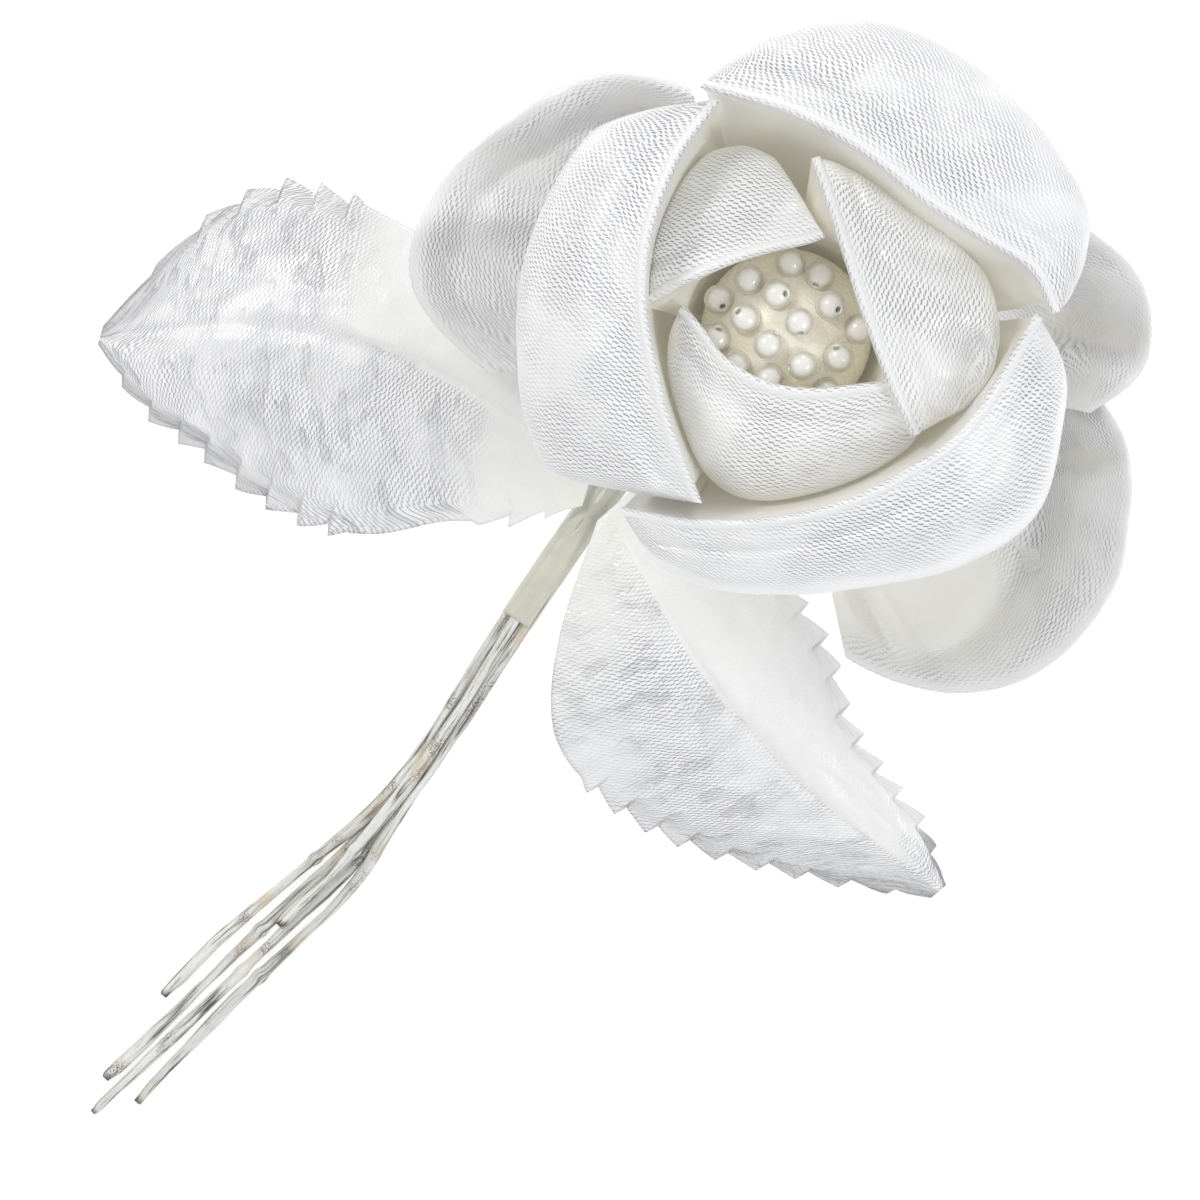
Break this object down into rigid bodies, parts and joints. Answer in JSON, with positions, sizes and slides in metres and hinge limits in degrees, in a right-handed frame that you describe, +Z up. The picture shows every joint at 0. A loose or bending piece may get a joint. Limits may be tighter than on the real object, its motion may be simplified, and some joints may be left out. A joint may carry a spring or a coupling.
{
  "type": "satin rose spray",
  "caption": "Folded satin rose with a pearl-bead centre, two serrated satin leaves and a bundle of paper-wrapped wires in a tape sleeve.",
  "frame": {"origin": "under the middle of the whole spray, at the table it lies on", "axes": "+Z up out of the flower's face; the stem runs towards -X and -Y along the table"},
  "size_m": [0.0941, 0.0969, 0.034],
  "materials": {
    "inner_satin": "double layer of white polyester satin, folded, cream in the folds",
    "petal_satin": "double layer of white polyester satin, folded and rolled",
    "leaf_satin": "starched satin, veins pressed in, pinked edge",
    "wrapped_rib": "thin wire wrapped in white paper, glued to the leaf",
    "wire_paper": "off-white paper wrap, scuffed and stained",
    "wire_steel": "bare cut steel wire",
    "core_foam": "foam ball covered in cloth",
    "bed_glue": "set clear cream glue",
    "pearl": "pearl lacquer on drilled beads",
    "cup_felt": "white felt pad soaked in glue",
    "neck_tape": "cream paper tape round the gathered wires",
    "thread": "white binding thread",
    "sleeve_film": "translucent cream tape, rolled round the wires"
  },
  "bodies": {
    "flower_head": {"base_cup": "cup_felt", "bead_bed": "bed_glue", "bead_core": "core_foam", "binding_thread": "thread", "neck": "neck_tape", "pearls": "pearl", "petal_inner_bottom": "inner_satin", "petal_inner_right": "inner_satin", "petal_inner_top": "inner_satin", "petal_middle_bottom": "petal_satin", "petal_middle_left": "petal_satin", "petal_middle_top": "petal_satin", "petal_outer_bottom": "petal_satin", "petal_outer_fold": "petal_satin", "petal_outer_left": "petal_satin", "petal_outer_right": "petal_satin"},
    "stem": {"stem_sleeve": "sleeve_film", "wire_long_core": "wire_steel", "wire_long_wrap": "wire_paper", "wire_lower_core": "wire_steel", "wire_lower_wrap": "wire_paper", "wire_short_core": "wire_steel", "wire_short_wrap": "wire_paper", "wire_side_core": "wire_steel", "wire_side_wrap": "wire_paper", "wire_upper_core": "wire_steel", "wire_upper_wrap": "wire_paper"},
    "leaf_left": {"leaf_left": "leaf_satin", "leaf_left_rib": "wrapped_rib"},
    "leaf_lower": {"leaf_lower": "leaf_satin", "leaf_lower_rib": "wrapped_rib"},
    "tail_side": {"tail_side_wrap": "wire_paper", "tail_side_core": "wire_steel"},
    "tail_upper": {"tail_upper_wrap": "wire_paper", "tail_upper_core": "wire_steel"},
    "tail_lower": {"tail_lower_wrap": "wire_paper", "tail_lower_core": "wire_steel"}
  },
  "joints": [
    {"name": "neck_bend", "type": "hinge", "parent": "stem", "child": "flower_head", "pos_m": [0.0152, 0.0212, 0.0062], "axis": [-0.5369, 0.8437, 0], "range_deg": [0, 60]},
    {"name": "leaf_left_bend", "type": "hinge", "parent": "stem", "child": "leaf_left", "pos_m": [-0.0019, 0.009, 0.0032], "axis": [0.2773, 0.9608, 0], "range_deg": [-15, 6]},
    {"name": "leaf_lower_bend", "type": "hinge", "parent": "stem", "child": "leaf_lower", "pos_m": [-0.0002, 0.006, 0.0032], "axis": [-0.7582, -0.6521, 0], "range_deg": [-15, 6]},
    {"name": "tail_side_bend", "type": "hinge", "parent": "stem", "child": "tail_side", "pos_m": [-0.03422, -0.03159, 0.001], "axis": [-0.6446, 0.7645, 0], "range_deg": [0, 45]},
    {"name": "tail_upper_bend", "type": "hinge", "parent": "stem", "child": "tail_upper", "pos_m": [-0.03472, -0.03472, 0.001], "axis": [-0.6981, 0.716, 0], "range_deg": [0, 45]},
    {"name": "tail_lower_bend", "type": "hinge", "parent": "stem", "child": "tail_lower", "pos_m": [-0.03271, -0.03688, 0.001], "axis": [-0.6901, 0.7237, 0], "range_deg": [0, 45]}
  ]
}
